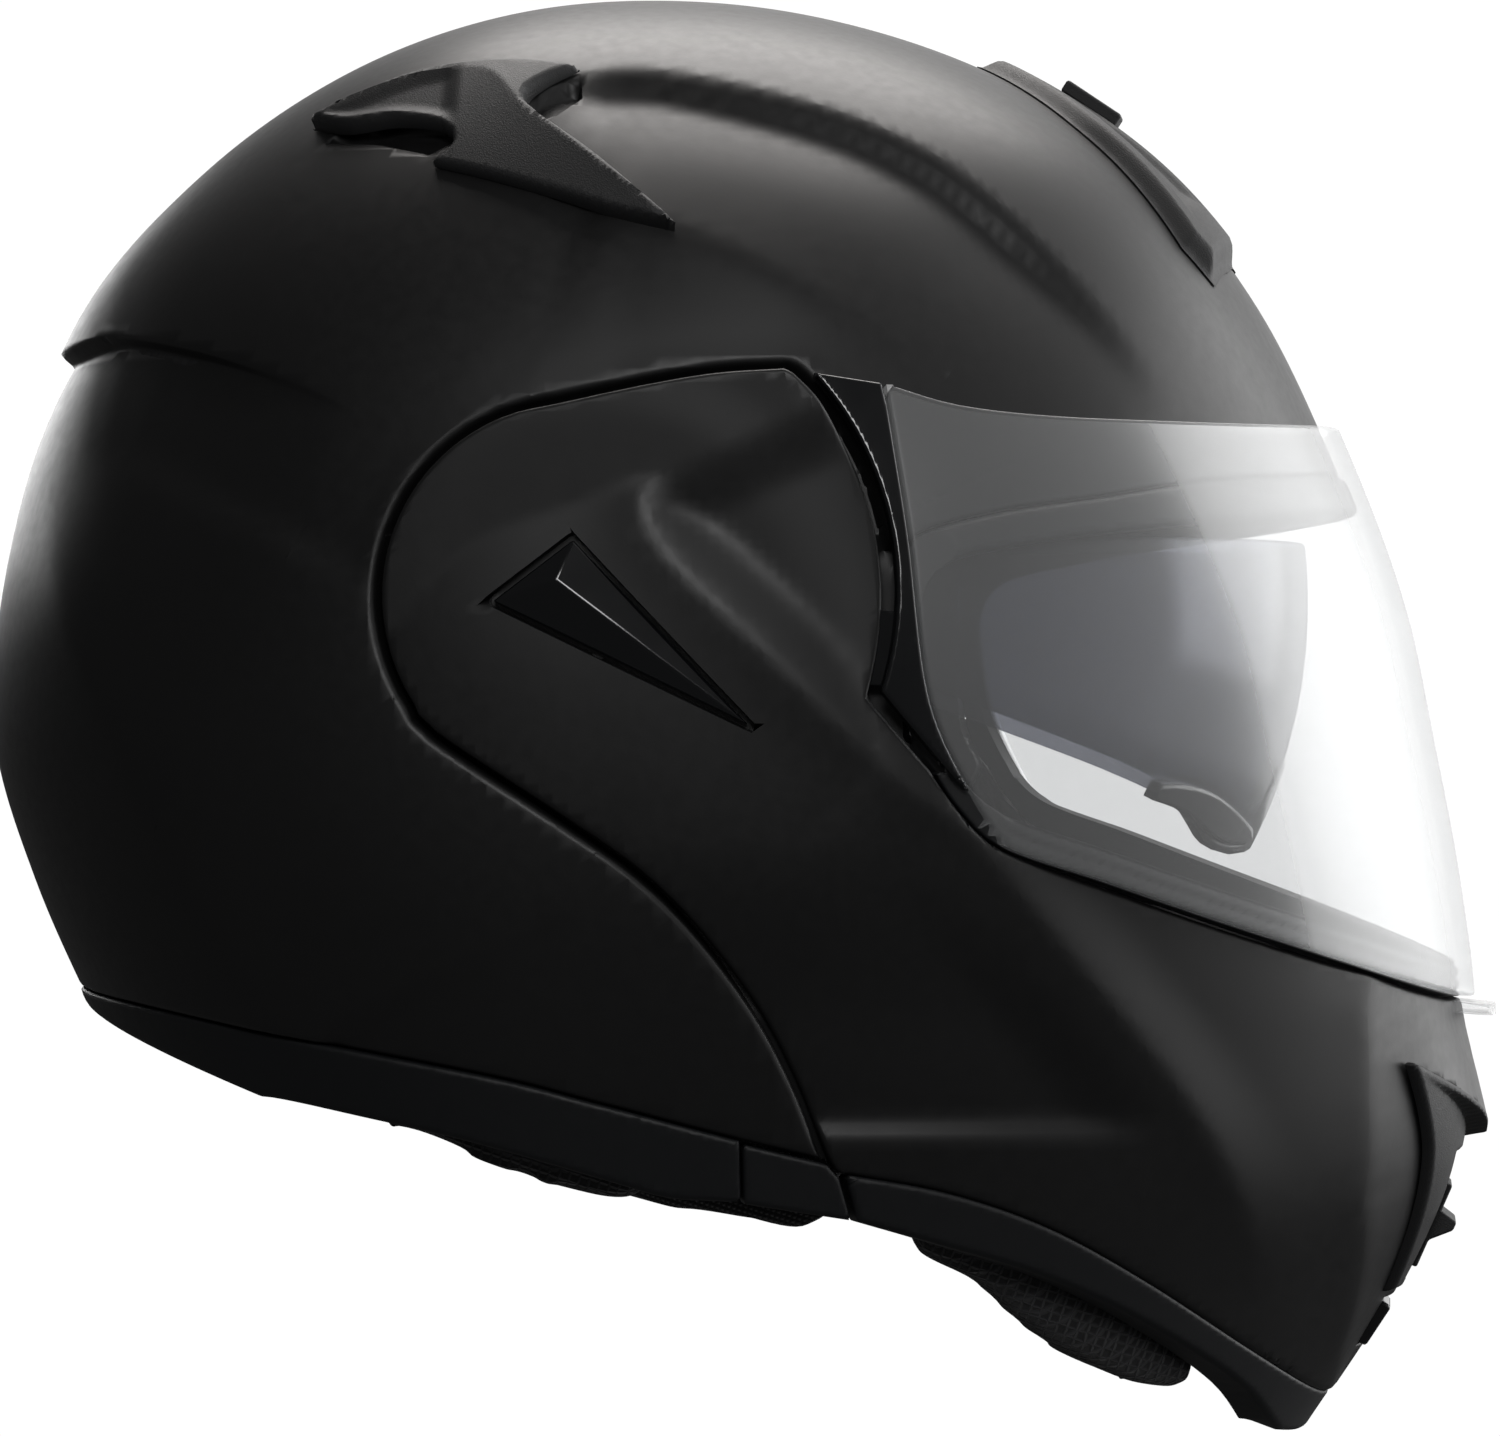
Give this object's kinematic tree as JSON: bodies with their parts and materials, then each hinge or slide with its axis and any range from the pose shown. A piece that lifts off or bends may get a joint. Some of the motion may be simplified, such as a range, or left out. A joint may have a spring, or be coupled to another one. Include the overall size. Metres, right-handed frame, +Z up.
{
  "type": "flip-up motorcycle helmet",
  "caption": "Full-coverage motorcycle helmet with a hinged flip-up chin bar, clear face shield, inner smoked sun visor, vents and a ratchet chin strap, standing on its rim.",
  "frame": {"origin": "centre of the footprint on the table, with the helmet standing on its rim", "axes": "+X forward out of the face opening, +Y to the wearer's left, +Z up"},
  "size_m": [0.3504, 0.2468, 0.2603],
  "materials": {
    "shell": "matte black paint over a fibre shell",
    "trim": "satin black rubber",
    "vent": "grained matte black plastic",
    "gloss": "smooth glossy black plastic",
    "lens": "clear polished polycarbonate",
    "smoke": "smoked polished polycarbonate",
    "foam": "black expanded foam",
    "fabric": "black brushed and mesh fabric over foam",
    "webbing": "woven black webbing",
    "steel": "plain steel"
  },
  "bodies": {
    "shell": {"outer_shell": "shell", "base_trim": "trim", "brow_seal": "trim", "latch_cover_left": "trim", "latch_cover_right": "trim", "extractor_vent_left": "vent", "extractor_vent_right": "vent", "brow_vent": "vent", "pivot_plate_left": "gloss", "pivot_plate_right": "gloss", "ratchet_tongue": "gloss", "impact_liner": "foam", "cheek_core_left": "foam", "cheek_core_right": "foam", "crown_pad": "fabric", "neck_roll": "fabric", "cheek_pad_left": "fabric", "cheek_pad_right": "fabric", "chin_strap_left": "webbing", "chin_strap_right": "webbing", "strap_anchor_left": "steel", "strap_anchor_right": "steel", "buckle_channel": "steel", "pivot_bolt_left": "steel", "pivot_bolt_right": "steel", "sun_visor_stud_left": "steel", "sun_visor_stud_right": "steel", "latch_striker_left": "steel", "latch_striker_right": "steel"},
    "chin_bar": {"chin_bar_shell": "shell", "chin_bar_liner": "foam", "chin_trim": "trim", "chin_port_seal": "trim", "chin_curtain": "fabric", "chin_vent_frame": "vent", "pivot_insert_left": "gloss", "pivot_insert_right": "gloss"},
    "face_shield": {"visor_lens": "lens", "visor_arm_left": "gloss", "visor_arm_right": "gloss"},
    "sun_visor": {"sun_visor": "smoke"},
    "sun_visor_lever": {"sun_visor_lever": "gloss"},
    "brow_vent_slider": {"brow_vent_slider": "vent"},
    "chin_vent_shutter": {"chin_vent_shutter": "vent"},
    "release_button": {"release_button": "gloss"},
    "latch_hook_left": {"latch_hook_left": "steel"},
    "latch_hook_right": {"latch_hook_right": "steel"},
    "buckle_lever": {"buckle_lever": "steel"}
  },
  "joints": [
    {"name": "chin_bar_hinge", "type": "hinge", "parent": "shell", "child": "chin_bar", "pos_m": [-0.03978, 0, 0.12058], "axis": [0, -1, 0], "range_deg": [0, 58]},
    {"name": "face_shield_hinge", "type": "hinge", "parent": "chin_bar", "child": "face_shield", "pos_m": [-0.03978, 0, 0.12058], "axis": [0, -1, 0], "range_deg": [0, 45]},
    {"name": "sun_visor_hinge", "type": "hinge", "parent": "shell", "child": "sun_visor", "pos_m": [-0.00769, 0, 0.13182], "axis": [0, -1, 0], "range_deg": [0, 32]},
    {"name": "sun_visor_lever_slide", "type": "slide", "parent": "shell", "child": "sun_visor_lever", "axis": [-0.99, 0, -0.1411], "range_m": [0, 0.0081]},
    {"name": "brow_vent_slide", "type": "slide", "parent": "shell", "child": "brow_vent_slider", "axis": [0.9703, 0, -0.242], "range_m": [0, 0.006]},
    {"name": "chin_vent_slide", "type": "slide", "parent": "chin_bar", "child": "chin_vent_shutter", "axis": [0.0776, 0, 0.997], "range_m": [0, 0.006]},
    {"name": "release_button_press", "type": "slide", "parent": "chin_bar", "child": "release_button", "axis": [-0.9704, 0, 0.2414], "range_m": [0, 0.003], "stiffness_N_per_m": 400, "springref_m": -0.002},
    {"name": "latch_hook_left_turn", "type": "hinge", "parent": "chin_bar", "child": "latch_hook_left", "pos_m": [0.05901, 0, 0.05028], "axis": [0, -1, 0], "range_deg": [0, 12.5]},
    {"name": "latch_hook_right_turn", "type": "hinge", "parent": "chin_bar", "child": "latch_hook_right", "pos_m": [0.05901, 0, 0.05028], "axis": [0, -1, 0], "range_deg": [0, 12.5]},
    {"name": "buckle_lever_hinge", "type": "hinge", "parent": "shell", "child": "buckle_lever", "pos_m": [0.0207, -0.009, 0.01748], "axis": [0.9438, 0, 0.3305], "range_deg": [0, 65], "stiffness_Nm_per_rad": 0.08, "springref_deg": -17.19}
  ],
  "couplings": [
    {"joint": "sun_visor_lever_slide", "follows": "sun_visor_hinge", "m_per_rad": 0.014324},
    {"joint": "latch_hook_left_turn", "follows": "release_button_press", "rad_per_m": 70},
    {"joint": "latch_hook_right_turn", "follows": "release_button_press", "rad_per_m": 70}
  ]
}
